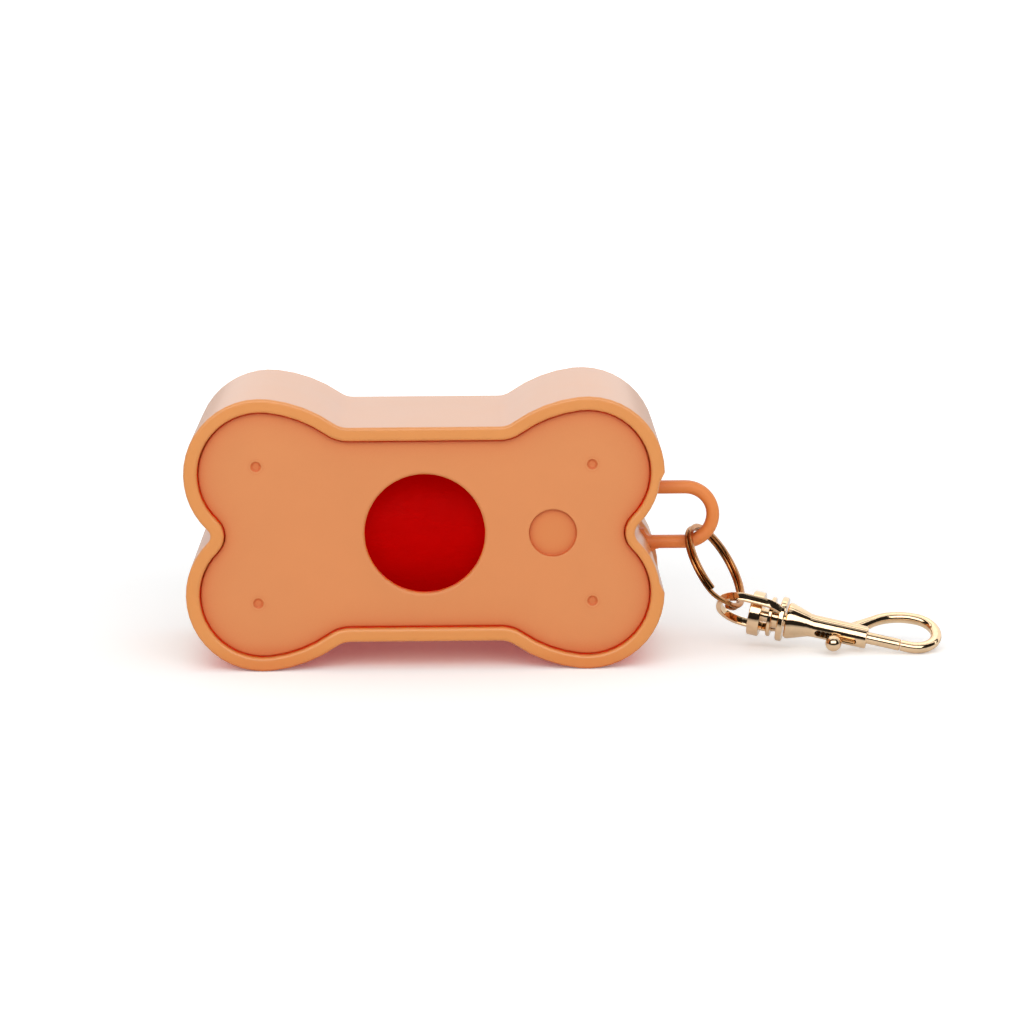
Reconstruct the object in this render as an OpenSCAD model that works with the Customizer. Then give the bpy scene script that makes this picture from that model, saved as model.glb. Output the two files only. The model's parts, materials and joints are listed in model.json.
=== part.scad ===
// Bone-shaped waste bag dispenser with a split ring and a swivel bolt snap.
// The case's flat back face is centred on the origin. The front faces -Y, +X is to
// the right and +Z is up. All sizes are in millimetres.

/* [Case] */
// Clear height left above the roll inside the waist
waist_room = 2.8; // [1:0.1:8]
// Clear depth left in front of the roll and behind it, together
depth_room = 2.4; // [1:0.1:8]
// Height of the lobes above the waist
lobe_rise = 5.4; // [4:0.1:8]
// Distance of the lobes' centres past the ends of the roll
lobe_reach = 3; // [1:0.1:6]
// Radius of the four lobes
lobe_r = 14.1; // [12:0.1:16]
// Radius of the flatter shoulder between lobe and waist
shoulder_r = 25.5; // [22:0.5:34]
// Angle by which the lobe's round runs past its top before the shoulder starts
shoulder_turn = 6.5; // [2:0.5:12]
// Radius of the hollow corner where the shoulder meets the waist
waist_fillet = 4.2; // [2:0.1:8]
// Radius of the hollow between the two lobes of one end
cleft_r = 1.6; // [1:0.1:4]
// Thickness of the wall at the rim
wall = 2.5; // [2:0.1:3.2]
// Width of the step inside the wall that the cover rests on
ledge = 0.8; // [0.4:0.1:1.5]
// Thickness of the closed back
back_t = 2; // [1.5:0.1:3]
// Rounding of the rim's two edges
rim_round = 0.5; // [0.2:0.1:0.8]
// Rounding of the case's back edge
back_round = 1.2; // [0.5:0.1:2]
// Depth of the shallow relief round the strap eye
relief = 0.75; // [0.3:0.05:1.2]
// How far the relief runs back from the rim
relief_d = 24; // [23:0.5:30]

/* [Cover] */
// Thickness of the front cover
cover_t = 2; // [1.5:0.1:3]
// How far the cover lies behind the rim
cover_recess = 1.2; // [0.5:0.1:2]
// Gap between the cover's edge and the wall
cover_gap = 0.25; // [0.1:0.05:0.5]
// Diameter of the dispensing hole
hole_d = 22; // [16:0.5:26]
// Rounding of the dispensing hole's edges
hole_round = 0.6; // [0.3:0.1:0.9]
// Diameter of the round recess for a badge
badge_d = 8.8; // [5:0.1:10]
// Depth of the badge recess
badge_depth = 0.6; // [0.3:0.1:0.8]
// Diameter of the sink marks in front of the pegs
sink_d = 1.9; // [1.2:0.1:2.4]
// Distance of the badge recess from the middle of the case
badge_x = 23.4; // [20:0.2:26]
// Diameter of the cover's four pegs
peg_d = 3.9; // [3:0.1:5]
// Length of the pegs behind the cover
peg_l = 10; // [6:0.5:14]
// Running clearance round a peg
peg_fit = 0.05; // [0.03:0.01:0.1]
// Wall of the posts that the pegs plug into
post_wall = 1.25; // [1:0.05:1.6]
// Clearance between the posts and the ends of the core
post_gap = 0.55; // [0.3:0.05:1.5]
// Distance of the pegs from the middle of the case, up and down
peg_z = 12.7; // [10:0.1:15]

/* [Bag roll] */
// Diameter of a full roll of bags
roll_d = 30.4; // [20:0.2:36]
// Length of the roll
roll_l = 53.4; // [40:0.2:60]
// Outer diameter of the cardboard core
core_d = 14; // [10:0.2:18]
// Thickness of the cardboard
core_wall = 1; // [0.6:0.1:1.6]
// How far the core stands out of each end of the roll
core_proud = 0.1; // [0:0.05:0.2]

/* [Strap eye] */
// Outer radius of the eye's round end
eye_r = 6.4; // [5.8:0.1:8]
// Width of the eye's band
eye_band = 2.4; // [2:0.1:3]
// Thickness of the band from front to back
eye_t = 3; // [2.4:0.1:4]
// How far the eye reaches past the widest part of the case
eye_reach = 11.2; // [10:0.2:16]
// Distance of the eye behind the rim
eye_y = 18.5; // [15:0.5:22]
// Radius of the fillets at the eye's roots
eye_fillet = 1.4; // [0.8:0.1:2.2]

/* [Split ring] */
// Outer diameter of the ring
ring_d = 17.9; // [16:0.1:24]
// Width of the wire across the ring
ring_wire_w = 1; // [0.8:0.1:1.6]
// Thickness of one turn of the wire
ring_wire_t = 0.75; // [0.6:0.05:1.1]
// Slack between ring and eye band
ring_slack = 0.45; // [0.4:0.05:0.8]
// Direction in which the ring hangs off the eye, from the side
ring_at = -62; // [-80:1:-30]
// Compass bearing of the ring's axis
ring_bearing = -20; // [-30:1:0]
// Slope of the ring's axis
ring_slope = 32; // [20:1:45]

/* [Swivel snap] */
// Length of the bail in front of the collar's large flange
bail_l = 13.1; // [12:0.1:18]
// Width of the bail between the middles of its two strands
bail_w = 10.6; // [10.4:0.1:14]
// Width of the bail's strap
strap_w = 1.6; // [1.4:0.1:3.2]
// Thickness of the bail's strap
strap_t = 1; // [0.8:0.1:1.4]
// Room between the middle of the ring's wire and the inside of the bail's round end
link_room = 2.8; // [2.7:0.05:3.2]
// Direction in which the ring's wire lies in the bail's round end
link_turn = 29; // [20:1:40]
// Lean of the bail against the collar
bail_lean = 4; // [0:0.5:5]
// Diameter of the collar's large flange
flange_d = 8.4; // [7:0.1:9]
// Diameter of the collar's thin flange
thin_flange_d = 7.5; // [6:0.1:8]
// Diameter of the swivel pin's head
head_d = 8.4; // [7:0.1:8.4]
// Thickness of the swivel pin's head
head_t = 2.25; // [1.5:0.05:2.4]
// Diameter of the swivel pin
pin_d = 2.6; // [2:0.1:3]
// Running clearance round the swivel pin and the bolt
run_fit = 0.06; // [0.03:0.01:0.1]
// Diameter of the cone at the back of the barrel
cone_d = 6.8; // [5.5:0.1:7.5]
// Diameter of the barrel
barrel_d = 4.2; // [3.8:0.1:5]
// Distance of the barrel's mouth from the collar's large flange
barrel_l = 15.9; // [15:0.1:18]
// Diameter of the bolt
bolt_d = 2.2; // [1.8:0.1:2.4]
// How far the closed bolt stands out of the barrel
bolt_out = 6.3; // [5.5:0.1:8]
// How far the thumb knob draws the bolt back
bolt_travel = 3.2; // [2:0.1:3.2]
// Diameter of the thumb knob's ball
knob_d = 3; // [2.4:0.1:3.6]
// Diameter of the thumb knob's stem
stem_d = 1.2; // [0.8:0.1:1.4]
// Distance of the thumb knob from the collar's large flange
knob_at = 10.15; // [10.1:0.05:11]
// Diameter of the hook's wire
hook_wire = 2.1; // [1.8:0.1:2.4]
// Radius of the hook's round end, to the middle of the wire
hook_r = 4.4; // [4:0.1:6]
// Radius of the hook's long bend, to the middle of the wire
hook_back_r = 10.3; // [8:0.1:14]
// Diameter of the spring's wire
spring_wire = 0.25; // [0.2:0.01:0.3]
// Number of turns of the spring
spring_turns = 5; // [4:1:7]
// Compass bearing of the clasp
clasp_bearing = -12.5; // [-20:0.5:0]
// Downward slope of the clasp
clasp_slope = 10.5; // [0:0.1:12]
// Turn of the bail about the clasp's own axis
bail_turn = 51; // [30:1:60]
// Turn of the hook about the clasp's own axis
hook_turn = -66; // [-80:1:-50]

/* [Hidden] */

ORANGE = [0.87, 0.55, 0.34];
RED = [0.72, 0.10, 0.06];
CARD = [0.72, 0.58, 0.42];
BRONZE = [0.62, 0.38, 0.20];
GOLD = [0.86, 0.70, 0.48];

$fn = 96;
EPS = 0.02;

// The case is built round the roll
inner_wall = wall + ledge;
waist_z = (roll_d + waist_room) / 2 + inner_wall;
case_d = cover_recess + cover_t + roll_d + depth_room + back_t;

// Centres and angles of the arcs that make one quarter of the bone
lobe_x = roll_l / 2 + lobe_reach;
lobe_z = waist_z + lobe_rise - lobe_r;
case_end = lobe_x + lobe_r;
shoulder_x = lobe_x + (shoulder_r - lobe_r) * sin(shoulder_turn);
shoulder_z = lobe_z - (shoulder_r - lobe_r) * cos(shoulder_turn);
corner_z = waist_z + waist_fillet;
corner_x = shoulder_x - sqrt(pow(shoulder_r + waist_fillet, 2) - pow(corner_z - shoulder_z, 2));
corner_end = atan2(shoulder_z - corner_z, shoulder_x - corner_x);
cleft_x = lobe_x + sqrt(pow(lobe_r + cleft_r, 2) - pow(lobe_z, 2));
cleft_turn = atan2(lobe_z, cleft_x - lobe_x);

// Depths, from the rim at -case_d to the back at 0
rim_y = -case_d;
cover_y = rim_y + cover_recess;
cover_back_y = cover_y + cover_t;
seat_y = cover_back_y + EPS;
plate_inset = wall + cover_gap;

// Posts and pegs
post_bore_d = peg_d + 2 * peg_fit;
post_d = post_bore_d + 2 * post_wall;
peg_x = roll_l / 2 + core_proud + post_gap + post_d / 2;
socket_y = cover_back_y + peg_l + 0.6;

// Roll, resting just above the waist's floor
roll_clear = 0.3;
roll_z = -waist_z + inner_wall + roll_clear + roll_d / 2;
roll_y = (cover_back_y - back_t) / 2;
core_fit = 0.1;

// Strap eye
eye_mid_r = eye_r - eye_band / 2;
eye_x = case_end + eye_reach - eye_r;
eye_pos = [eye_x, rim_y + eye_y, 0];

// Ring, hanging off the eye's band; its own +X points down its slope
ring_r = ring_d / 2;
ring_mid_r = ring_r - ring_wire_w / 2;
ring_hang = ring_r - ring_wire_w - ring_slack - eye_band / 2;
ring_top = eye_pos + eye_mid_r * [cos(ring_at), 0, sin(ring_at)];
ring_down = [sin(ring_slope) * cos(ring_bearing), sin(ring_slope) * sin(ring_bearing),
             -cos(ring_slope)];
ring_pos = ring_top + ring_hang * ring_down;
ring_low = ring_pos + ring_mid_r * ring_down;

// Axes of the clasp: along it, across it and up
clasp_x = [cos(clasp_slope) * cos(clasp_bearing), cos(clasp_slope) * sin(clasp_bearing),
           -sin(clasp_slope)];
clasp_y = [-sin(clasp_bearing), cos(clasp_bearing), 0];
clasp_z = cross(clasp_x, clasp_y);
bail_side = -sin(bail_turn) * clasp_y + cos(bail_turn) * clasp_z;

// Bail: its round end, and the point where the ring's wire lies in it
bail_r = bail_w / 2;
bail_mid = -bail_l + strap_t / 2 + bail_r;
lean_at = -2;
link_r = bail_r - strap_t / 2 - link_room;
link_raw = [bail_mid - link_r * cos(link_turn) - lean_at, link_r * sin(link_turn)];
link_s = lean_at + link_raw[0] * cos(bail_lean) + link_raw[1] * sin(bail_lean);
link_l = link_raw[1] * cos(bail_lean) - link_raw[0] * sin(bail_lean);
clasp_pos = ring_low - link_s * clasp_x - link_l * bail_side;

// Stations along the clasp, from the front of the collar's large flange
collar_front = 0.2;
collar_back = -2.85;
thin_flange_t = 0.75;
flange_t = 1.15;
collar_core_d = pin_d + 1.5;
head_front = -4.2;
body_back = collar_front + 0.3;
cone_land = 0.7;
cone_end = 4.9;
socket_end = 4.2;
bore_end = 4.75;
bolt_tip = barrel_l + bolt_out;
bolt_tail = knob_at - stem_d / 2 - 0.3;
bolt_bore_d = bolt_d + 2 * run_fit;
slot_w = stem_d + 0.2;
slot_back = knob_at - bolt_travel - slot_w / 2 - 0.05;
slot_front = knob_at + 4;
knob_out = barrel_d / 2 + knob_d / 2 + 0.3;
hook_gap = 0.1;
hook_mid = bolt_tip + 1.6;
hook_bend = 50;
hook_top = 2 * hook_r;

// Point of the plane at radius r and angle a
function polar(r, a) = [r * cos(a), r * sin(a)];

// Points of the arc of radius r about c, from angle a0 to a1 in n steps
function arc(c, r, a0, a1, n = 3) = [for (k = [0 : n]) c + polar(r, a0 + (a1 - a0) * k / n)];

// Outline of a rectangle w by h, centred, with its corners rounded by r
function rounded(w, h, r, n = 3) = concat(
    arc([w / 2 - r, h / 2 - r], r, 0, 90, n),
    arc([r - w / 2, h / 2 - r], r, 90, 180, n),
    arc([r - w / 2, r - h / 2], r, 180, 270, n),
    arc([w / 2 - r, r - h / 2], r, 270, 360, n));

// The bone's outline is a ring of knots. A knot is [centre x, centre z, radius, sign, angle]:
// it lies on an arc, which is hollow where the sign is -1.
function knots(x, z, r, sign, a0, a1, n) =
    [for (k = [0 : n - 1]) [x, z, r, sign, a0 + (a1 - a0) * k / n]];
function mirror_x(q) = [for (k = q) [-k[0], k[1], k[2], k[3], 180 - k[4]]];
function mirror_z(q) = [for (k = q) [k[0], -k[1], k[2], k[3], -k[4]]];
function reversed(q) = [for (k = [len(q) - 1 : -1 : 0]) q[k]];

RELIEF_KNOT = 20;
quarter = concat(
    knots(corner_x, corner_z, waist_fillet, -1, -90, corner_end, 4),
    knots(shoulder_x, shoulder_z, shoulder_r, 1, 180 + corner_end, 90 + shoulder_turn, 4),
    knots(lobe_x, lobe_z, lobe_r, 1, 90 + shoulder_turn, 0, 12),
    knots(lobe_x, lobe_z, lobe_r, 1, 0, -cleft_turn, 6),
    knots(cleft_x, 0, cleft_r, -1, 180 - cleft_turn, 180, 3));
cleft_knot = [cleft_x, 0, cleft_r, -1, 180];
half = concat(quarter, [cleft_knot], reversed(mirror_z(quarter)));
bone = concat(half, reversed(mirror_x(half)));

// Where a knot lies on the outline drawn inset from the bone's own
function knot_at(q, inset) = [q[0], q[1]] + polar(q[2] - q[3] * inset, q[4]);
function outline(inset) = [for (q = bone) knot_at(q, inset)];

// Faces between neighbouring rings of n points, with the last ring joined to the first
// where closed
function ring_faces(rings, n, closed) = [
    for (i = [0 : rings - (closed ? 1 : 2)], j = [0 : n - 1])
        let (a = i * n, b = (i + 1) % rings * n, k = (j + 1) % n)
            [a + j, b + j, b + k, a + k]];

// Solid through a list of rings that close on themselves
module closed_loft(rings) {
    n = len(rings[0]);
    polyhedron([for (r = rings, p = r) p], ring_faces(len(rings), n, true), convexity = 6);
}

// Solid through a list of rings with flat convex ends
module tube(rings) {
    n = len(rings[0]);
    last = (len(rings) - 1) * n;
    polyhedron(
        [for (r = rings, p = r) p],
        concat([[for (j = [0 : n - 1]) j]],
               [[for (j = [n - 1 : -1 : 0]) last + j]],
               ring_faces(len(rings), n, false)),
        convexity = 8);
}

// A flat section placed at p, with its x along u and its y along v
function placed(section, p, u, v) = [for (q = section) p + q[0] * u + q[1] * v];

// Turns a shape drawn in XY so that it stands in XZ and its height runs back along +Y
module upright() {
    rotate([90, 0, 0])
        mirror([0, 0, 1])
            children();
}

// Plate with the bone's outline, inset, from depth y0 to y1
module bone_plate(inset, y0, y1) {
    translate([0, y0, 0])
        upright()
            linear_extrude(y1 - y0)
                polygon(outline(inset));
}

// Round solid along +Y from depth y0 to y1
module rod_y(x, z, d, y0, y1) {
    translate([x, y0, z])
        upright()
            cylinder(d = d, h = y1 - y0);
}

// Round solid about the X axis from x0 to x1
module rod_x(d, x0, x1) {
    translate([x0, 0, 0])
        rotate([0, 90, 0])
            cylinder(d = d, h = x1 - x0);
}

// Solid of revolution about the X axis, from a list of [x, radius]
module turned_x(profile) {
    rotate([0, 90, 0])
        rotate_extrude()
            polygon([for (p = profile) [p[1], p[0]]]);
}

// Repeats its children at the four pegs
module at_pegs() {
    for (x = [-peg_x, peg_x], z = [-peg_z, peg_z])
        translate([x, 0, z])
            children();
}

// ---------------------------------------------------------------- Case

// Section of the wall: x is the distance inwards from the outline, y is the depth. The
// shallow relief is cut to depth d.
function wall_section(d) = concat(
    arc([d + rim_round, rim_y + rim_round], rim_round, 180, 270),
    arc([wall - rim_round, rim_y + rim_round], rim_round, 270, 360),
    [[wall, seat_y], [inner_wall, seat_y], [inner_wall, 0]],
    arc([back_round, -back_round], back_round, 90, 180),
    [[0, rim_y + relief_d + relief], [d, rim_y + relief_d]]);

// Knots of the right end that are relieved: between the widest points of its two lobes
function relieved(i) = i > RELIEF_KNOT && i < 2 * len(quarter) - RELIEF_KNOT;

module wall_band() {
    closed_loft([for (i = [0 : len(bone) - 1])
        [for (s = wall_section(relieved(i) ? relief : 0))
            let (p = knot_at(bone[i], s[0])) [p[0], s[1], p[1]]]]);
}

// Web between two points of the XZ plane, from depth y0 to the back
module web(p, q, t, y0) {
    along = (q - p) / norm(q - p);
    side = t / 2 * [-along[1], along[0]];
    translate([0, y0, 0])
        upright()
            linear_extrude(-y0 - back_t / 2)
                polygon([p + side, p - side, q - side, q + side]);
}

// Post for one peg, with two webs that tie it to the wall
module peg_post() {
    web_t = 1.2;
    web_y = rim_y / 2;
    rod_y(peg_x, peg_z, post_d, seat_y, -back_t / 2);
    for (a = [8, 98])
        web([peg_x, peg_z], [lobe_x, lobe_z] + polar(lobe_r - inner_wall / 2, a), web_t, web_y);
}

// Socket in a post, with an eased mouth
module peg_socket() {
    translate([peg_x, seat_y, peg_z])
        upright()
            rotate_extrude()
                polygon([[0, -1], [post_bore_d / 2 + 0.4, -1], [post_bore_d / 2 + 0.4, 0],
                         [post_bore_d / 2, 0.4], [post_bore_d / 2, socket_y - seat_y],
                         [0, socket_y - seat_y]]);
}

// The strap eye: two arms and a round end of one rounded section
module strap_eye() {
    section = rounded(eye_band, eye_t, 0.45 * eye_band, 4);
    root_x = lobe_x + sqrt(pow(lobe_r - inner_wall, 2) - pow(lobe_z - eye_r, 2)) + 0.2;
    translate(eye_pos) {
        upright()
            rotate([0, 0, -90])
                rotate_extrude(angle = 180)
                    translate([eye_mid_r, 0])
                        polygon(section);
        for (up = [-1, 1])
            translate([root_x - eye_x, 0, up * eye_mid_r])
                rotate([90, 0, 90])
                    linear_extrude(eye_x - root_x)
                        rotate(90)
                            polygon(section);
        for (up = [0, 1])
            mirror([0, 0, up])
                eye_fillets(lobe_x - eye_x);
    }
}

// Fillets on both sides of the upper arm's root, seen from the eye's centre
module eye_fillets(lobe) {
    sink = 0.05;
    body = lobe_r - relief;
    outer = lobe + sqrt(pow(body, 2) - pow(lobe_z - eye_r, 2));
    inner = lobe + sqrt(pow(body, 2) - pow(lobe_z - eye_r + eye_band, 2));
    eye_fillet_at(outer, eye_r - sink, 1);
    eye_fillet_at(inner, eye_r - eye_band + sink, -1);
}

module eye_fillet_at(x, z, side) {
    f = eye_fillet;
    t = eye_t - 0.8;
    translate([x, -t / 2, z])
        mirror([0, 0, side < 0 ? 1 : 0])
            upright()
                linear_extrude(t)
                    difference() {
                        translate([-1, -0.5])
                            square([f + 1, f + 0.5]);
                        translate([f, f])
                            circle(f);
                    }
}

module case_shell() {
    color(ORANGE)
        difference() {
            union() {
                wall_band();
                bone_plate(inner_wall / 2, -back_t, 0);
                for (side = [0, 1], up = [0, 1])
                    mirror([side, 0, 0])
                        mirror([0, 0, up])
                            peg_post();
                strap_eye();
            }
            for (side = [0, 1], up = [0, 1])
                mirror([side, 0, 0])
                    mirror([0, 0, up])
                        peg_socket();
        }
}

// ---------------------------------------------------------------- Cover

// Cutter for a round hole through the cover, with both edges rounded
module hole_cut() {
    r = hole_d / 2;
    e = hole_round;
    translate([0, cover_y, 0])
        upright()
            rotate_extrude()
                polygon(concat(
                    [[0, -1], [r + e, -1]],
                    arc([r + e, e], e, 270, 180, 5),
                    arc([r + e, cover_t - e], e, 180, 90, 5),
                    [[r + e, cover_t + 1], [0, cover_t + 1]]));
}

// Peg with a pointed tip
module peg() {
    tip = 0.6;
    translate([0, cover_back_y - EPS, 0])
        upright()
            rotate_extrude()
                polygon([[0, 0], [peg_d / 2, 0], [peg_d / 2, peg_l - tip],
                         [peg_d / 2 - tip, peg_l + EPS], [0, peg_l + EPS]]);
}

// Raised ring round the sink mark in front of a peg
module sink_ring() {
    r = sink_d / 2;
    high = 0.1 + EPS;
    translate([0, cover_y + EPS, 0])
        rotate([90, 0, 0])
            rotate_extrude()
                polygon([[r - 0.1, 0], [r + 0.1, high], [r + 0.25, high], [r + 0.5, 0]]);
}

// Cutter for a shallow round recess in the cover's front, with a sloping edge
module shallow_cut(d, depth, slope) {
    translate([0, cover_y, 0])
        upright()
            rotate_extrude()
                polygon([[0, -1], [d / 2, -1], [d / 2, 0], [d / 2 - slope, depth], [0, depth]]);
}

module front_cover() {
    color(ORANGE)
        difference() {
            union() {
                bone_plate(plate_inset, cover_y, cover_back_y);
                at_pegs() {
                    peg();
                    sink_ring();
                }
            }
            hole_cut();
            at_pegs()
                shallow_cut(sink_d, 0.3, 0.3);
            translate([badge_x, 0, 0])
                shallow_cut(badge_d, badge_depth, 0.2);
        }
}

// ---------------------------------------------------------------- Roll

module bag_roll() {
    color(RED)
        translate([0, roll_y, roll_z])
            difference() {
                rod_x(roll_d, -roll_l / 2, roll_l / 2);
                rod_x(core_d + 2 * core_fit, -roll_l, roll_l);
            }
}

module roll_core() {
    reach = roll_l / 2 + core_proud;
    color(CARD)
        translate([0, roll_y, roll_z])
            difference() {
                rod_x(core_d, -reach, reach);
                rod_x(core_d - 2 * core_wall, -roll_l, roll_l);
            }
}

// ---------------------------------------------------------------- Ring

// Two turns of flat wire. The first turn crosses over to the second layer just before
// it comes round, and the second ends where the crossing starts.
module split_ring() {
    start = -30;
    step = 8;
    cross = 40;
    turns = 720 - cross;
    layer = ring_wire_t / 2 + 0.02;
    section = rounded(ring_wire_w, ring_wire_t, 0.3 * ring_wire_t, 1);
    color(BRONZE)
        translate(ring_pos)
            rotate([0, 90 - ring_slope, ring_bearing])
                tube([for (t = [0 : step : turns])
                    let (a = start + t,
                         rise = min(1, max(0, (t - 360 + cross) / cross)),
                         z = layer * (2 * rise * rise * (3 - 2 * rise) - 1),
                         out = [cos(a), sin(a), 0])
                        placed(section, ring_mid_r * out + [0, 0, z], out, [0, 0, -1])]);
}

// ---------------------------------------------------------------- Snap

// Puts a piece drawn along +X, from the collar's large flange, where the clasp lies
module at_clasp(turn = 0) {
    translate(clasp_pos)
        rotate([0, clasp_slope, clasp_bearing])
            rotate([turn, 0, 0])
                children();
}

// Distance of the bail's strand from the axis, at x between its root and its round end
function strand(x) =
    let (root = flange_d / 2 - 0.9, u = min(1, (collar_front - 0.6 - x) / 3.7))
        root + (bail_r - root) * sin(90 * u);

// Middle line of the bail as [x, z, direction of its outer side]
bail_line = concat(
    [for (k = [0 : 6]) let (x = collar_front - 0.6 - 3.7 * k / 6) [x, strand(x), 90 - 22 * cos(15 * k)]],
    [for (a = [90 : 12 : 270]) [bail_mid + bail_r * cos(a), bail_r * sin(a), a]],
    [for (k = [6 : -1 : 0]) let (x = collar_front - 0.6 - 3.7 * k / 6) [x, -strand(x), 22 * cos(15 * k) - 90]]);

module clasp_eye() {
    section = rounded(strap_t, strap_w, 0.3 * strap_t, 2);
    color(GOLD)
        at_clasp(bail_turn)
            difference() {
                union() {
                    translate([lean_at, 0, 0])
                        rotate([0, bail_lean, 0])
                            tube([for (p = bail_line)
                                placed(section, [p[0] - lean_at, 0, p[1]],
                                       [cos(p[2]), 0, sin(p[2])], [0, 1, 0])]);
                    turned_x([[collar_back, 0], [collar_back, thin_flange_d / 2 - 0.15],
                              [collar_back + 0.15, thin_flange_d / 2],
                              [collar_back + thin_flange_t - 0.15, thin_flange_d / 2],
                              [collar_back + thin_flange_t, thin_flange_d / 2 - 0.15],
                              [collar_back + thin_flange_t, collar_core_d / 2],
                              [collar_front - flange_t, collar_core_d / 2],
                              [collar_front - flange_t, flange_d / 2 - 0.2],
                              [collar_front - flange_t + 0.2, flange_d / 2],
                              [collar_front - 0.2, flange_d / 2],
                              [collar_front, flange_d / 2 - 0.2], [collar_front, 0]]);
                }
                rod_x(pin_d + 2 * run_fit, collar_back - 1, collar_front + 1);
            }
}

module swivel_pin() {
    head_back = head_front - head_t;
    e = 0.3;
    color(GOLD)
        at_clasp()
            turned_x([[head_back, 0], [head_back, head_d / 2 - e], [head_back + 0.3 * e, head_d / 2 - 0.3 * e],
                      [head_back + e, head_d / 2], [head_front - e, head_d / 2],
                      [head_front - 0.3 * e, head_d / 2 - 0.3 * e], [head_front, head_d / 2 - e],
                      [head_front, pin_d / 2], [socket_end, pin_d / 2], [socket_end, 0]]);
}

// Outline of the cone and barrel, as [x, radius]
function barrel_profile() =
    let (b = barrel_d / 2, c = cone_d / 2)
        [[body_back, 0], [body_back, c - 0.25], [body_back + 0.25, c], [body_back + cone_land, c],
         [cone_end - 0.8, b + 0.35], [cone_end, b + 0.08], [cone_end + 0.9, b],
         [barrel_l - 0.15, b], [barrel_l, b - 0.15], [barrel_l, 0]];

// Middle line of the hook's wire as [x, z, direction of travel, radius]
hook_line =
    let (w = hook_wire / 2, back = [hook_mid, hook_top - hook_back_r],
         foot = back + polar(hook_back_r, 90 + hook_bend), reach = 4.8)
    concat(
        [for (u = [1, 0.6, 0.3])
            [foot[0] - u * reach * cos(hook_bend), foot[1] - u * reach * sin(hook_bend), hook_bend,
             w * (1 + 0.3 * u)]],
        [for (k = [0 : 5]) let (a = 90 + hook_bend * (1 - k / 6), p = back + polar(hook_back_r, a))
            [p[0], p[1], a - 90, w]],
        [for (a = [90 : -12 : -90]) [hook_mid + hook_r * cos(a), hook_r + hook_r * sin(a), a - 90, w]],
        [[bolt_tip + hook_gap, 0, -180, w]]);

module hook() {
    tube([for (p = hook_line)
        placed([for (k = [0 : 13]) polar(p[3], 360 * k / 14)], [p[0], 0, p[1]],
               [sin(p[2]), 0, -cos(p[2])], [0, 1, 0])]);
}

module thumb_slot() {
    for (x = [slot_back, slot_front])
        translate([x + (x == slot_back ? 1 : -1) * slot_w / 2, 0, -barrel_d])
            cylinder(d = slot_w, h = barrel_d);
    translate([slot_back + slot_w / 2, -slot_w / 2, -barrel_d])
        cube([slot_front - slot_back - slot_w, slot_w, barrel_d]);
}

module clasp_body() {
    color(GOLD)
        at_clasp(hook_turn)
            difference() {
                union() {
                    turned_x(barrel_profile());
                    hook();
                }
                rod_x(bolt_bore_d, bore_end, barrel_l + 0.4);
                rod_x(pin_d + 2 * EPS, body_back - 1, socket_end + 0.1);
                thumb_slot();
            }
}

module bolt() {
    r = bolt_d / 2;
    color(GOLD)
        at_clasp(hook_turn)
            difference() {
                turned_x([[bolt_tail, 0], [bolt_tail, r - 0.15], [bolt_tail + 0.15, r],
                          [bolt_tip - 0.2, r], [bolt_tip, r - 0.2], [bolt_tip, 0]]);
                translate([knob_at, 0, -bolt_d])
                    cylinder(d = stem_d + 2 * EPS, h = bolt_d + 0.4);
            }
}

module thumb_knob() {
    color(GOLD)
        at_clasp(hook_turn)
            translate([knob_at, 0, -knob_out]) {
                sphere(d = knob_d);
                cylinder(d = stem_d, h = knob_out + 0.3);
            }
}

module bolt_spring() {
    end = spring_wire / 2 + 0.05;
    length = bolt_tail - bore_end - 2 * end;
    r = bolt_bore_d / 2 - spring_wire / 2 - 0.12;
    steps = 14;
    color(GOLD)
        at_clasp(hook_turn)
            tube([for (k = [0 : spring_turns * steps])
                let (a = 360 * k / steps, out = [0, cos(a), sin(a)])
                    placed([for (j = [0 : 5]) polar(spring_wire / 2, 60 * j)],
                           [bore_end + end + length * k / steps / spring_turns, 0, 0] + r * out,
                           out, [-1, 0, 0])]);
}

case_shell();
front_cover();
bag_roll();
roll_core();
split_ring();
clasp_eye();
swivel_pin();
clasp_body();
bolt();
thumb_knob();
bolt_spring();
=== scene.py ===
"""Looks for a bone-shaped waste bag dispenser with a split ring and a swivel bolt snap."""

import json
import math

import bpy
import numpy as np
from bpy.props import FloatProperty, FloatVectorProperty, PointerProperty
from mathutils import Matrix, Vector
from mathutils.bvhtree import BVHTree


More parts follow.
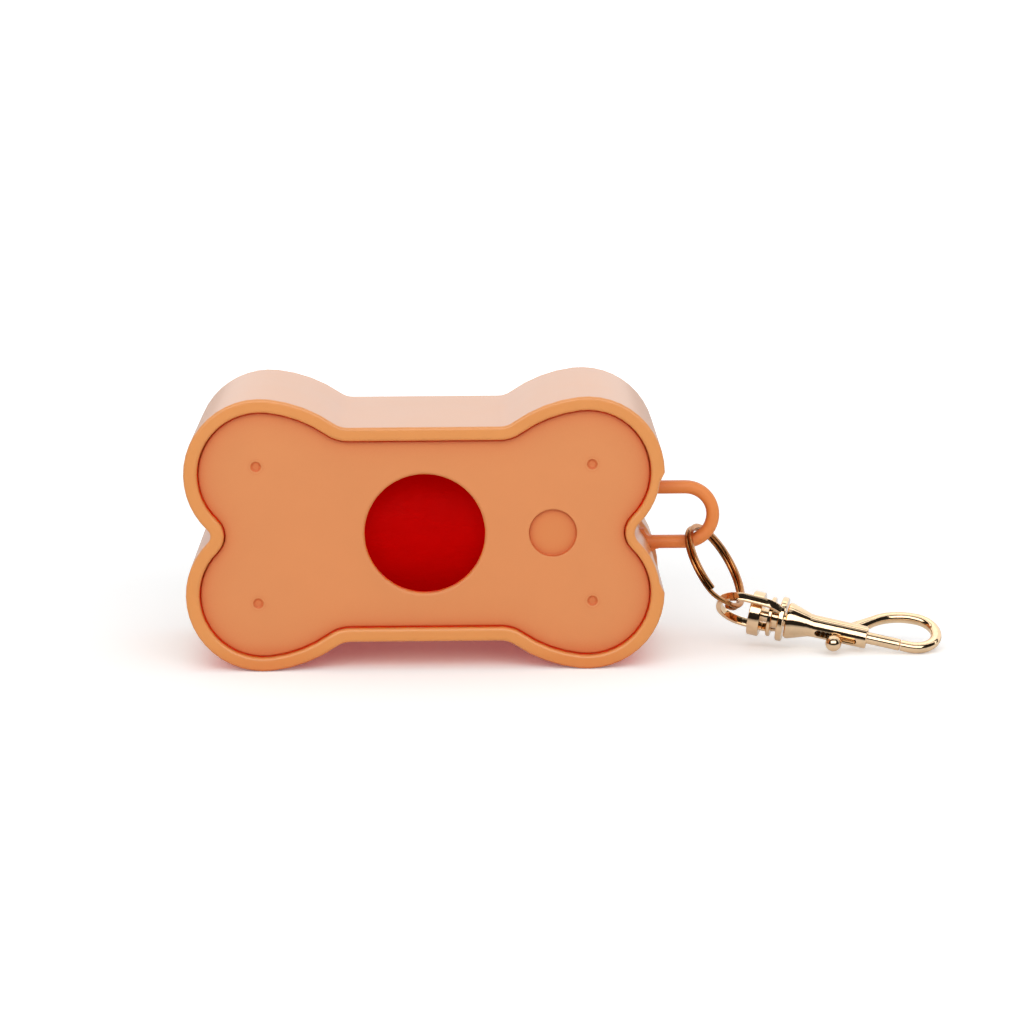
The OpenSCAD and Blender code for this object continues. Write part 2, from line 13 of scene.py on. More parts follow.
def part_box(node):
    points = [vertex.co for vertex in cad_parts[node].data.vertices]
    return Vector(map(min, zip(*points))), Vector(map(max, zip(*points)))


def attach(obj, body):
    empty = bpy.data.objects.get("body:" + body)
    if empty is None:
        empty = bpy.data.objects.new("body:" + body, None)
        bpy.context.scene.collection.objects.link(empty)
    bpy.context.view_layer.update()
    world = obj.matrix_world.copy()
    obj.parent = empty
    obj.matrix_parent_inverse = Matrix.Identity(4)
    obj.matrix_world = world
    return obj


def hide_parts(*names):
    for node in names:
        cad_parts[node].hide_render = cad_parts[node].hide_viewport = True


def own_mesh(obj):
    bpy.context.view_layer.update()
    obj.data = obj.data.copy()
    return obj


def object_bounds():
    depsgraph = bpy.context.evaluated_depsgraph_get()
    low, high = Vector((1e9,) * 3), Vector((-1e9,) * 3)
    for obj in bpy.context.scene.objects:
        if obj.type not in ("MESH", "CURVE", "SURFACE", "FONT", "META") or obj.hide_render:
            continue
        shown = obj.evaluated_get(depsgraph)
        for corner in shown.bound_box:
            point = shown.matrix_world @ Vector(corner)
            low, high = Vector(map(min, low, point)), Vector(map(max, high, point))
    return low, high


bl_info = {
    "name": "Waste Bag Dispenser",
    "version": (1, 0, 0),
    "blender": (4, 5, 0),
    "location": "View3D > Sidebar > Dispenser",
    "description": "Builds the looks of a bone-shaped waste bag dispenser around its fixed frame",
    "category": "Object",
}

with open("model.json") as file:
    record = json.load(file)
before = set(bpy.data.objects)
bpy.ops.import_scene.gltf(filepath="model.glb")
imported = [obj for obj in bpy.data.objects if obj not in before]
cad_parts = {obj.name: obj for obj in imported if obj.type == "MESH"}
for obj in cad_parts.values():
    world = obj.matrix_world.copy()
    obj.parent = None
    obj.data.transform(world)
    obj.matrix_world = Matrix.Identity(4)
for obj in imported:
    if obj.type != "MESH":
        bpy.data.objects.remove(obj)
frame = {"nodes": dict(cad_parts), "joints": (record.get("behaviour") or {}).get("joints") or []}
nodes = frame["nodes"]
cad_low, cad_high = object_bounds()

# Where the case's rim and the cover's front lie along Y. All sizes are in metres.
COVER_SETBACK = 0.0012
rim_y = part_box("case_shell")[0].y
cover_y = rim_y + COVER_SETBACK


# ------------------------------------------------------------------ settings


def colour_property(name, description, default):
    """A colour that a user would change, in linear values."""
    return FloatVectorProperty(
        name=name, description=description, subtype="COLOR", size=3,
        min=0.0, max=1.0, default=default,
    )


def factor_property(name, description, default):
    """A share from 0 to 1 that a user would change."""
    return FloatProperty(
        name=name, description=description, subtype="FACTOR", min=0.0, max=1.0, default=default
    )


class CaseLooks(bpy.types.PropertyGroup):
    """Plastic of the case and its cover"""

    case_colour: colour_property("Case", "Colour of the moulded case", (0.735, 0.288, 0.082))
    cover_colour: colour_property("Cover", "Colour of the front cover", (0.700, 0.250, 0.080))
    case_roughness: factor_property("Case roughness", "How dull the case's walls are", 0.29)
    cover_roughness: factor_property("Cover roughness", "How dull the spark-eroded cover is", 0.52)
    recess_colour: colour_property(
        "Recesses", "Colour of the floors of the badge recess and sink marks",
        (0.690, 0.225, 0.062))
    eye_colour: colour_property("Strap eye", "Colour of the thin strap eye", (0.800, 0.245, 0.052))
    # Painted red glow on the inner walls near the cover, for light that seeps through the plastic.
    inner_glow_colour: colour_property(
        "Inside", "Colour of the walls inside, where light seeps through", (0.95, 0.065, 0.006))
    grain: FloatProperty(
        name="Grain", description="Size of the moulded grain", unit="LENGTH",
        min=0.0001, max=0.002, precision=5, default=0.00035,
    )


class BagLooks(bpy.types.PropertyGroup):
    """Film and core of the bag roll"""

    film_colour: colour_property("Film", "Colour of the bags", (0.27, 0.0006, 0.0004))
    card_colour: colour_property("Core", "Colour of the cardboard core", (0.40, 0.25, 0.13))
    film_roughness: factor_property("Film roughness", "How dull the film is", 0.62)
    crease: FloatProperty(
        name="Creases", description="Depth of the creases in the outer bag", unit="LENGTH",
        min=0.0, max=0.0004, precision=5, default=0.00016,
    )
    film_step: FloatProperty(
        name="Film edge", description="Height of the outer bag's free edge", unit="LENGTH",
        min=0.0, max=0.0005, precision=5, default=0.00022,
    )


class MetalLooks(bpy.types.PropertyGroup):
    """Plating of the ring and the snap"""

    ring_colour: colour_property("Ring", "Colour of the ring's plating", (0.52, 0.225, 0.070))
    snap_colour: colour_property("Snap", "Colour of the snap's plating", (0.93, 0.68, 0.43))
    spring_colour: colour_property("Spring", "Colour of the spring's wire", (0.52, 0.52, 0.53))
    ring_roughness: factor_property("Ring roughness", "How dull the ring is", 0.20)
    snap_roughness: factor_property("Snap roughness", "How dull the snap is", 0.08)


class StageLooks(bpy.types.PropertyGroup):
    """Camera, floor and light"""

    lens: FloatProperty(
        name="Focal length", description="Focal length on a 36 mm sensor, in millimetres",
        min=20.0, max=300.0, default=124.06,
    )
    sky: FloatProperty(
        name="Sky", description="Strength of the light from all round",
        min=0.0, max=2.0, default=0.66,
    )
    top_light: FloatProperty(
        name="Top light", description="Power of the soft box overhead", unit="POWER",
        min=0.0, max=100.0, default=1.2,
    )
    key_light: FloatProperty(
        name="Key light", description="Power of the soft box in front", unit="POWER",
        min=0.0, max=100.0, default=13.0,
    )


# ------------------------------------------------------------------ materials


# Sockets of a Mix node that mixes colours. It has others with the same names.
MIX_SHARE, MIX_FIRST, MIX_SECOND, MIX_RESULT = 0, 6, 7, 2


class Tree:
    """A node tree that starts empty, with short calls for what goes into it."""

    def __init__(self, tree):
        self.tree = tree
        self.tree.nodes.clear()

    def add(self, kind, **values):
        node = self.tree.nodes.new(kind)
        for key, value in values.items():
            setattr(node, key, value)
        return node

    def link(self, start, end):
        self.tree.links.new(start, end)

    def spread(self, value, low, high, start=0.3, end=0.7):
        """Maps a value from start..end to low..high."""
        node = self.add("ShaderNodeMapRange")
        limits = {"From Min": start, "From Max": end, "To Min": low, "To Max": high}
        for key, number in limits.items():
            node.inputs[key].default_value = number
        self.link(value, node.inputs["Value"])
        return node.outputs["Result"]

    def combine(self, operation, first, second):
        """One value from two: their product or the larger one."""
        node = self.add("ShaderNodeMath", operation=operation)
        self.link(first, node.inputs[0])
        self.link(second, node.inputs[1])
        return node.outputs[0]

    def between(self, value, first, second):
        """Mixes two plain colours by a value."""
        node = self.add("ShaderNodeMix", data_type="RGBA")
        self.link(value, node.inputs[MIX_SHARE])
        node.inputs[MIX_FIRST].default_value = (*first, 1.0)
        node.inputs[MIX_SECOND].default_value = (*second, 1.0)
        return node.outputs[MIX_RESULT]

    def toward(self, value, shade, colour):
        """Turns a shade that varies to a plain colour by a value."""
        node = self.add("ShaderNodeMix", data_type="RGBA")
        self.link(value, node.inputs[MIX_SHARE])
        self.link(shade, node.inputs[MIX_FIRST])
        node.inputs[MIX_SECOND].default_value = (*colour, 1.0)
        return node.outputs[MIX_RESULT]


class Shader(Tree):
    """A new node material with a Principled shader and short calls for what feeds it."""

    def __init__(self, name):
        self.material = bpy.data.materials.new(name)
        self.material.use_nodes = True
        super().__init__(self.material.node_tree)
        output = self.add("ShaderNodeOutputMaterial")
        self.surface = self.add("ShaderNodeBsdfPrincipled")
        self.link(self.surface.outputs["BSDF"], output.inputs["Surface"])
        self.place = self.add("ShaderNodeTexCoord").outputs["Object"]

    def set(self, **values):
        """Constants on the Principled shader's own sockets."""
        for key, value in values.items():
            self.surface.inputs[key.replace("_", " ")].default_value = value

    def feed(self, **sources):
        """Links sources to the Principled shader's sockets."""
        for key, source in sources.items():
            self.link(source, self.surface.inputs[key.replace("_", " ")])

    def stretched(self, scale):
        """The object's coordinates, scaled differently along its axes."""
        mapping = self.add("ShaderNodeMapping")
        mapping.inputs["Scale"].default_value = scale
        self.link(self.place, mapping.inputs["Vector"])
        return mapping.outputs["Vector"]

    def noise(self, size, detail=3.0, rough=0.5, place=None, distortion=0.0):
        """Noise with features of about that size."""
        node = self.add("ShaderNodeTexNoise")
        node.inputs["Scale"].default_value = 1.0 / size
        node.inputs["Detail"].default_value = detail
        node.inputs["Roughness"].default_value = rough
        node.inputs["Distortion"].default_value = distortion
        self.link(place or self.place, node.inputs["Vector"])
        return node.outputs["Fac"]

    def mottle(self, value, colour, dark, light, start=0.3, end=0.7):
        """A colour that goes from its dark share to its light one by a value."""
        return self.between(
            self.spread(value, 0.0, 1.0, start, end), tint(colour, dark), tint(colour, light))

    def bumps(self, *layers, start=None):
        """Stacks bump layers, each a height and its depth, onto the shader's normal."""
        normal = start
        for height, depth in layers:
            node = self.add("ShaderNodeBump")
            node.inputs["Strength"].default_value = 1.0
            node.inputs["Distance"].default_value = depth
            self.link(height, node.inputs["Height"])
            if normal:
                self.link(normal, node.inputs["Normal"])
            normal = node.outputs["Normal"]
        self.link(normal, self.surface.inputs["Normal"])


def tint(colour, share):
    """A colour made lighter or darker by a share."""
    return tuple(min(1.0, c * share) for c in colour)


def filtered(colour, shares):
    """A colour of which only a share of its red, green and blue is left."""
    return tuple(c * share for c, share in zip(colour, shares))


# Painted shade in the corners of the plastic: how far it reaches, the shares of the sky that are
# seen in the open and from the seams, and what the painted shade and the painted red glow of the
# seams leave of the plastic's colour.
CORNER_REACH = 0.006
OPEN_SKY = 0.99
SEAM_SKY = (0.48, 0.70)
CORNER_SHADE_FILTER = (0.90, 0.60, 0.46)
SEAM_GLOW_FILTER = (1.0, 0.18, 0.10)
# How far light travels inside the plastic, by red, green and blue.
PLASTIC_TRAVEL, PLASTIC_TRAVEL_RGB = 0.006, (1.0, 0.12, 0.02)
PLASTIC_WAVE_DEPTH = 0.00003
PLASTIC_RUB = 0.012


def moulded_plastic(name, colour, roughness, grain, grain_depth, inner=None, depths=None,
                    seep=0.0, edge=0.0004, coat=0.0, full_shade=0.78, seam_glow=0.0):
    """Satin injection-moulded plastic: faint flow clouds, fine grain, slight waviness, soft
    edges and painted shade in corners, a darker, warmer colour, which is full where only
    full_shade of the sky is seen and turns to a painted red glow by the share given for seams in
    the tightest ones. With inner, light spreads inside the plastic, and a strip has the inner
    colour, a painted red glow, and also glows by the strength seep, for light that seeps
    through the walls there. It comes in between the first two depths and goes out between the
    last two."""
    m = Shader(name)
    m.set(IOR=1.5, Coat_Weight=coat, Coat_Roughness=0.16)
    clouds = m.noise(size=0.018, detail=4.0, rough=0.55)
    shade = m.mottle(clouds, colour, dark=0.965, light=1.035, start=0.15, end=0.85)
    # Painted shade: the colour turns darker and warmer where the AO node sees less of the sky.
    corner = m.add("ShaderNodeAmbientOcclusion", samples=8)
    corner.inputs["Distance"].default_value = CORNER_REACH
    sky = corner.outputs["AO"]
    shade = m.toward(
        m.spread(sky, 1.0, 0.0, full_shade, OPEN_SKY), shade, filtered(colour, CORNER_SHADE_FILTER))
    # Painted red glow in the tightest seams, for light through the plastic.
    if seam_glow:
        shade = m.toward(
            m.spread(sky, seam_glow, 0.0, *SEAM_SKY), shade, filtered(colour, SEAM_GLOW_FILTER))
    if inner:
        m.set(Subsurface_Weight=1.0, Subsurface_Scale=PLASTIC_TRAVEL)
        m.set(Subsurface_Radius=PLASTIC_TRAVEL_RGB)
        # Painted red glow: a strip of the inner colour on the walls behind the rim, which also
        # glows by seep, for light seeping through the walls.
        split = m.add("ShaderNodeSeparateXYZ")
        m.link(m.place, split.inputs[0])
        strip = m.combine(
            "MULTIPLY",
            m.spread(split.outputs["Y"], 0.0, 1.0, *depths[:2]),
            m.spread(split.outputs["Y"], 1.0, 0.0, *depths[2:]))
        shade = m.toward(strip, shade, inner)
        if seep:
            m.set(Emission_Color=(*inner, 1.0))
            m.feed(Emission_Strength=m.spread(strip, 0.0, seep, 0.0, 1.0))
    m.feed(Base_Color=shade)
    fine = m.noise(size=grain, detail=2.0)
    rub = m.noise(size=0.009, detail=1.0)
    m.feed(Roughness=m.spread(rub, roughness - PLASTIC_RUB, roughness + PLASTIC_RUB, 0.1, 0.9))
    soft = m.add("ShaderNodeBevel", samples=8)
    soft.inputs["Radius"].default_value = edge
    wave = m.noise(size=0.012, detail=1.0)
    m.bumps((wave, PLASTIC_WAVE_DEPTH), (fine, grain_depth), start=soft.outputs[0])
    return m.material


def bag_film(name, colour, roughness):
    """Soft thin film, wound tight, with stretch lines round the roll and small puckers. A
    faint glow stands for the light that reaches it through the case."""
    band_depth, pucker_depth = 0.00004, 0.00028
    m = Shader(name)
    m.set(IOR=1.45, Specular_IOR_Level=0.02)
    m.set(Subsurface_Weight=1.0, Subsurface_Scale=0.03, Subsurface_Radius=(1.0, 0.08, 0.05))
    m.set(Emission_Color=(1.0, 0.0, 0.0, 1.0), Emission_Strength=0.21)
    bands = m.noise(size=0.0011, detail=3.0, place=m.stretched((1.0, 0.12, 0.12)))
    pucker = m.noise(
        size=0.0045, detail=4.0, rough=0.62, place=m.stretched((0.45, 1.0, 1.0)),
        distortion=0.6)
    m.feed(Base_Color=m.mottle(pucker, colour, dark=0.94, light=1.06))
    m.feed(Roughness=m.spread(bands, roughness - 0.08, roughness + 0.1))
    m.bumps((pucker, pucker_depth), (bands, band_depth))
    return m.material


def cardboard(name, colour):
    """Grey-brown rolled board with long fibres."""
    fibre_depth = 0.00006
    m = Shader(name)
    m.set(IOR=1.4, Specular_IOR_Level=0.25)
    fibre = m.noise(size=0.0006, detail=6.0, rough=0.7, place=m.stretched((0.25, 1.0, 1.0)))
    m.feed(Base_Color=m.mottle(fibre, colour, dark=0.8, light=1.15))
    m.feed(Roughness=m.spread(fibre, low=0.78, high=0.92))
    m.bumps((fibre, fibre_depth))
    return m.material


def plated_metal(name, colour, roughness, wave_depth, tarnish):
    """Polished plating over cast or drawn metal: soft casting waves, fine polish lines and
    a darker tone in patches."""
    polish_depth = 0.000006
    smooth, dull = roughness * 0.7, roughness * 1.35
    m = Shader(name)
    m.set(Metallic=1.0)
    patches = m.noise(size=0.0035, detail=4.0, rough=0.6)
    m.feed(Base_Color=m.mottle(patches, colour, dark=tarnish, light=1.06))
    polish = m.noise(size=0.0006, detail=4.0, place=m.stretched((0.2, 1.0, 1.0)))
    m.feed(Roughness=m.spread(polish, smooth, dull))
    m.bumps((m.noise(size=0.0016, detail=2.0), wave_depth), (polish, polish_depth))
    return m.material


def drawn_steel(name, colour):
    """Bare spring wire with fine drawing marks."""
    mark_depth = 0.000004
    m = Shader(name)
    m.set(Metallic=1.0)
    marks = m.noise(size=0.00012, detail=3.0)
    m.feed(Base_Color=m.mottle(marks, colour, dark=0.85, light=1.1))
    m.feed(Roughness=m.spread(marks, low=0.28, high=0.42))
    m.bumps((marks, mark_depth))
    return m.material


# ------------------------------------------------------------------ meshes


# Corner normals: steps by which facets of one plane and points of one place are told, the
# sum of normals that cancel, the tilt of a wall that still stands along Y, and the distances
# at which parts of a facet are apart, a facet is too narrow and a corner is at its side.
NORMAL_STEPS = 300.0
PLANE_STEP = 1e-5
POINT_STEP = 2e-7
CANCELLED = 1e-20
WALL_TILT = 0.02
APART = 1e-6
NARROW = 0.00005
AT_SIDE = 2e-6


def dress(name, material, sharp_deg=38.0, upright=False):
    """Gives a node of the frame its material, with smooth shading across its fine facets."""
    piece = nodes[name]
    piece.data.materials.clear()
    piece.data.materials.append(material)
    smooth_shading(piece.data, sharp_deg, upright)
    return piece


def smooth_shading(mesh, sharp_deg, upright=False):
    """Sets a mesh's corner normals from the flat facets around each point and keeps every edge
    that is sharper than the given angle. A facet counts once, by its whole area, however its
    triangles are cut. With upright, walls along Y shade evenly across each facet. No point
    moves."""
    count = len(mesh.loops)
    point = np.empty(count, np.int64)
    mesh.loops.foreach_get("vertex_index", point)
    place = np.empty(len(mesh.vertices) * 3)
    mesh.vertices.foreach_get("co", place)
    place = place.reshape(-1, 3)
    faces = len(mesh.polygons)
    normal, area = np.empty(faces * 3), np.empty(faces)
    mesh.polygons.foreach_get("normal", normal)
    mesh.polygons.foreach_get("area", area)
    total = np.empty(faces, np.int64)
    mesh.polygons.foreach_get("loop_total", total)
    face = np.repeat(np.arange(faces), total)
    normal = normal.reshape(-1, 3)
    start = np.empty(faces, np.int64)
    mesh.polygons.foreach_get("loop_start", start)
    away = np.einsum("ij,ij->i", normal, place[point[start]])
    plane = np.column_stack(
        (np.round(normal * NORMAL_STEPS), np.round(away / PLANE_STEP)[:, None]))
    _, plane = np.unique(plane.astype(np.int64), axis=0, return_inverse=True)
    plane = plane.ravel()
    facet_area = np.bincount(plane, area)[plane]
    spot = np.round(place / POINT_STEP).astype(np.int64)
    _, spot = np.unique(spot, axis=0, return_inverse=True)
    spot = spot.ravel()[point]
    order = np.argsort(spot, kind="stable")
    ends = np.flatnonzero(np.diff(spot[order])) + 1
    limit = math.cos(math.radians(sharp_deg))
    result = np.empty((count, 3))
    for group in np.split(order, ends):
        around = face[group]
        n = normal[around]
        shared = (plane[around][:, None] == plane[around][None, :]).sum(axis=1)
        result[group] = ((n @ n.T > limit) * (facet_area[around] / shared)) @ n
    length = np.linalg.norm(result, axis=1)
    bad = length < CANCELLED
    result[bad], length[bad] = normal[face[bad]], 1.0
    result /= length[:, None]
    if upright:
        even_walls(result, normal, plane, place[point])
    mesh.polygons.foreach_set("use_smooth", np.ones(faces, bool))
    mesh.normals_split_custom_set(list(map(tuple, result)))
    mesh.update()


def even_walls(result, normal, plane, corner):
    """Turns the corner normals of each facet that stands along Y evenly from one of its sides
    to the other, also at points that a cut leaves in between. The mesh is all triangles."""
    order = np.argsort(plane, kind="stable")
    for faces in np.split(order, np.flatnonzero(np.diff(plane[order])) + 1):
        facing = normal[faces[0]]
        if abs(facing[1]) > WALL_TILT:
            continue
        corners = faces[:, None] * 3 + np.arange(3)
        across = corner[corners] @ np.cross(facing, (0.0, 1.0, 0.0))
        first, last = across.min(axis=1), across.max(axis=1)
        line = np.argsort(first)
        reach = np.maximum.accumulate(last[line])
        breaks = np.flatnonzero(first[line][1:] > reach[:-1] + APART) + 1
        for part in np.split(line, breaks):
            own, at = corners[part].ravel(), across[part].ravel()
            low, high = at.min(), at.max()
            if high - low < NARROW:
                continue
            left = np.median(result[own[at < low + AT_SIDE]], axis=0)
            right = np.median(result[own[at > high - AT_SIDE]], axis=0)
            share = ((at - low) / (high - low))[:, None]
            turned = left * (1.0 - share) + right * share
            result[own] = turned / np.linalg.norm(turned, axis=1)[:, None]


# The inside begins behind the rim and ends at the back's inner face. It is what lies within
# WALL_GAP of the cover's outline, or near the axis of the dispensing hole.
INSIDE_BEHIND_RIM, INSIDE_END_Y = 0.0006, -0.0018
COVER_MIDDLE = 0.001
WALL_GAP = 0.00105
HOLE_RADIUS = 0.011
# The strap eye: what is past the case's end, and its root in the relief.
EYE_PAST_COVER, EYE_ROOT_REACH = 0.0028, 0.004
EYE_Y, EYE_HALF_WIDTH, EYE_HALF_HEIGHT = -0.0195, 0.0016, 0.0068
# The cover's recessed floors and its edge, by their depth behind its front.
FLOOR_DEPTHS, FLOOR_FACING, PAST_HOLE_EDGE = (0.00022, 0.00062), -0.3, 0.0125
EDGE_DEPTHS = (0.0003, 0.0019)


def paint_inside(mesh):
    """Gives the second material to the walls inside the case, which lie beside the cover's
    edge or behind it, and the third to the strap eye."""
    plate = nodes["front_cover"]
    low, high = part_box("front_cover")
    tree = BVHTree.FromPolygons(
        [v.co for v in plate.data.vertices], [list(f.vertices) for f in plate.data.polygons])
    for face in mesh.polygons:
        x, y, z = face.center
        if not rim_y + INSIDE_BEHIND_RIM < y < INSIDE_END_Y:
            continue
        gap = tree.find_nearest(Vector((x, low.y + COVER_MIDDLE, z)))[3]
        in_root = (x > high.x - EYE_ROOT_REACH and abs(z) < EYE_HALF_HEIGHT
                   and abs(y - EYE_Y) < EYE_HALF_WIDTH)
        if gap < WALL_GAP or math.hypot(x, z) < HOLE_RADIUS:
            face.material_index = 1
        elif x > high.x + EYE_PAST_COVER or in_root:
            face.material_index = 2


def paint_recesses(mesh):
    """Gives the second material to the floors of the cover's badge recess and sink marks, and
    the third to its edge and the hole's wall."""
    for face in mesh.polygons:
        sunk = face.center.y - cover_y
        away = math.hypot(face.center.x, face.center.z)
        in_floor = FLOOR_DEPTHS[0] < sunk < FLOOR_DEPTHS[1] and face.normal.y < FLOOR_FACING
        if in_floor and away > PAST_HOLE_EDGE:
            face.material_index = 1
        elif EDGE_DEPTHS[0] < sunk < EDGE_DEPTHS[1]:
            face.material_index = 2


def new_piece(name, points, faces, material, body):
    """A mesh object that rides on a body."""
    mesh = bpy.data.meshes.new(name)
    mesh.from_pydata([tuple(p) for p in points], [], [tuple(f) for f in faces])
    mesh.materials.append(material)
    mesh.validate()
    mesh.update()
    piece = bpy.data.objects.new(name, mesh)
    bpy.context.scene.collection.objects.link(piece)
    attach(piece, body)
    return piece


# The roll's mesh: points round it, rings along it, rings of each end and ripples of the skin.
ROUND, ALONG, LAYERS, RIPPLES = 220, 90, 26, 26
SEED = 7
# Ripples: how many waves go round the roll, how fast they turn along it, and how much less
# the shorter ones count.
RIPPLE_WAVES, RIPPLE_PITCHES, RIPPLE_FADE = (1, 9), (60.0, 520.0), 0.4
FREE_EDGE_DEG = -118.0
# Room that the film leaves to the roll's space, round it, at its core and at its ends.
SKIN_ROOM, CORE_ROOM, SKIN_END_ROOM, END_ROOM = 0.00002, 0.0001, 0.00015, 0.00009
CREASE_POWER = 1.6
# The ends: how deep they dish, how far every other layer stands back, and their waviness.
END_DISH, LAYER_STEP, END_WAVE, END_SET_BACK = 0.00012, 0.00005, 0.00005, 0.00006


def wound_film(looks):
    """Points and faces of the roll: a spiral skin with a free edge and creases, ends with
    the edges of the layers, and a bore for the core. All of it lies inside the roll's box."""
    low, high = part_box("bag_roll")
    centre_y, centre_z = (low.y + high.y) / 2, (low.z + high.z) / 2
    radius = (high.z - low.z) / 2 - SKIN_ROOM
    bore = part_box("roll_core")[1].z - centre_z + CORE_ROOM
    full_turn = 2.0 * math.pi
    rng = np.random.default_rng(SEED)
    around = np.linspace(0.0, full_turn, ROUND, endpoint=False)
    angle = math.radians(FREE_EDGE_DEG) + around
    past_edge = angle - math.radians(FREE_EDGE_DEG)
    length = np.linspace(low.x + SKIN_END_ROOM, high.x - SKIN_END_ROOM, ALONG)
    wave = np.zeros((ALONG, ROUND))
    for _ in range(RIPPLES):
        ripple = rng.integers(*RIPPLE_WAVES)
        shift = rng.uniform(0.0, full_turn)
        pitch = rng.uniform(*RIPPLE_PITCHES)
        phase = ripple * past_edge[None, :] + pitch * length[:, None] + shift
        wave += np.sin(phase) / (1.0 + RIPPLE_FADE * ripple)
    wave = (wave - wave.min()) / (wave.max() - wave.min())
    spiral = looks.film_step * past_edge / full_turn
    skin = radius - looks.crease * wave ** CREASE_POWER - spiral[None, :]

    def end_rings(x, sign, start):
        made = []
        for k in range(1, LAYERS + 1):
            share = k / LAYERS
            dish = END_DISH * math.sin(math.pi * share) + LAYER_STEP * (k % 2)
            wobble = END_WAVE * np.sin(3.0 * angle + 5.0 * share)
            r = start * (1.0 - share) + bore * share
            made.append((x - sign * (dish + END_SET_BACK + wobble), r))
        return made

    rings = [(np.full(ROUND, x), skin[i]) for i, x in enumerate(length)]
    rings += end_rings(high.x - END_ROOM, 1.0, skin[-1])
    rings.append((np.zeros(ROUND), np.full(ROUND, bore)))
    rings += end_rings(low.x + END_ROOM, -1.0, skin[0])[::-1]
    points = np.concatenate([
        np.stack([x, centre_y + r * np.cos(angle), centre_z + r * np.sin(angle)], axis=1)
        for x, r in rings
    ])
    faces = []
    for i in range(len(rings)):
        a, b = i * ROUND, (i + 1) % len(rings) * ROUND
        for j in range(ROUND):
            k = (j + 1) % ROUND
            faces.append((a + j, a + k, b + k, b + j))
    return points, faces


# ------------------------------------------------------------------ operators


# Depth of the moulded grain, finest on the polished case and coarsest on the cover.
CASE_GRAIN_DEPTH, EYE_GRAIN_DEPTH = 0.0000015, 0.000003
INNER_GRAIN_DEPTH, COVER_GRAIN_DEPTH = 0.000008, 0.000012
COVER_GRAIN_SHARE = 0.8
# Where the strip of painted red glow, for light that seeps through, comes in and goes out,
# behind the rim and behind the cover's front.
CASE_GLOW_STRIP = (0.0010, 0.0014, 0.0026, 0.0032)
COVER_GLOW_STRIP = (0.0003, 0.0012, 0.0015, 0.00198)
# Share of the sky at and below which the painted corner shade is full on the case and eye.
POLISHED_SHADE = 0.25
# Angles above which an edge stays sharp.
FILM_SHARP_DEG, RING_SHARP_DEG, SPRING_SHARP_DEG = 32.0, 50.0, 65.0


class DISPENSER_OT_case(bpy.types.Operator):
    """Finish the moulded case and its strap eye"""

    bl_idname = "dispenser.case"
    bl_label = "Case"

    def execute(self, context):
        looks = context.scene.dispenser_case
        case = dress("case_shell", moulded_plastic(
            "case_plastic", looks.case_colour, looks.case_roughness, looks.grain,
            CASE_GRAIN_DEPTH, edge=0.0007, coat=0.32, full_shade=POLISHED_SHADE), upright=True)
        # Inner walls: painted red glow in a strip behind the rim, with emission by seep.
        case.data.materials.append(moulded_plastic(
            "case_inside_glow", looks.case_colour, looks.cover_roughness, looks.grain,
            INNER_GRAIN_DEPTH, looks.inner_glow_colour, [rim_y + depth for depth in CASE_GLOW_STRIP],
            seep=0.12))
        case.data.materials.append(moulded_plastic(
            "eye_plastic", looks.eye_colour, looks.cover_roughness, looks.grain,
            EYE_GRAIN_DEPTH, full_shade=POLISHED_SHADE))
        paint_inside(case.data)
        return {"FINISHED"}


class DISPENSER_OT_cover(bpy.types.Operator):
    """Finish the front cover with its hole, badge recess and sink marks"""

    bl_idname = "dispenser.cover"
    bl_label = "Front cover"

    def execute(self, context):
        looks = context.scene.dispenser_case
        # Painted shade in its corners, turning to a painted red glow in the tightest seams.
        cover = dress("front_cover", moulded_plastic(
            "cover_plastic", looks.cover_colour, looks.cover_roughness,
            looks.grain * COVER_GRAIN_SHARE, COVER_GRAIN_DEPTH, seam_glow=0.9), upright=True)
        cover.data.materials.append(moulded_plastic(
            "recess_plastic", looks.recess_colour, looks.cover_roughness, looks.grain,
            INNER_GRAIN_DEPTH, edge=0.0003))
        # Edge and hole wall: painted red glow in a strip behind the cover's front.
        cover.data.materials.append(moulded_plastic(
            "cover_inside_glow", looks.cover_colour, looks.cover_roughness, looks.grain,
            INNER_GRAIN_DEPTH, looks.inner_glow_colour, [cover_y + depth for depth in COVER_GLOW_STRIP]))
        paint_recesses(cover.data)
        return {"FINISHED"}


class DISPENSER_OT_bag_roll(bpy.types.Operator):
    """Wind the bags on their cardboard core"""

    bl_idname = "dispenser.bag_roll"
    bl_label = "Bag roll"

    def execute(self, context):
        looks = context.scene.dispenser_bags
        points, faces = wound_film(looks)
        film = bag_film("bag_film", looks.film_colour, looks.film_roughness)
        roll = new_piece("wound_bags", points, faces, film, "roll")
        smooth_shading(roll.data, FILM_SHARP_DEG)
        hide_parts("bag_roll")
        dress("roll_core", cardboard("core_board", looks.card_colour))
        return {"FINISHED"}


class DISPENSER_OT_ring(bpy.types.Operator):
    """Finish the split ring"""

    bl_idname = "dispenser.ring"
    bl_label = "Split ring"

    def execute(self, context):
        looks = context.scene.dispenser_metal
        plating = plated_metal(
            "ring_plating", looks.ring_colour, looks.ring_roughness,
            wave_depth=0.00001, tarnish=0.72)
        dress("split_ring", plating, RING_SHARP_DEG)
        return {"FINISHED"}


def shortening_spring():
    """Puts a copy of the spring's mesh in its place, riding on the clasp, and hides the frame's
    spring. It reads the bolt's slide axis but does not shorten the copy as the bolt is drawn back."""
    slide = next(joint for joint in frame["joints"] if joint["name"] == "bolt_slide")
    back = Vector(slide["axis"]).normalized()
    coil = bpy.data.objects.new("spring_coil", nodes["bolt_spring"].data.copy())
    bpy.context.scene.collection.objects.link(coil)
    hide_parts("bolt_spring")
    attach(coil, "clasp")
    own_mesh(coil)


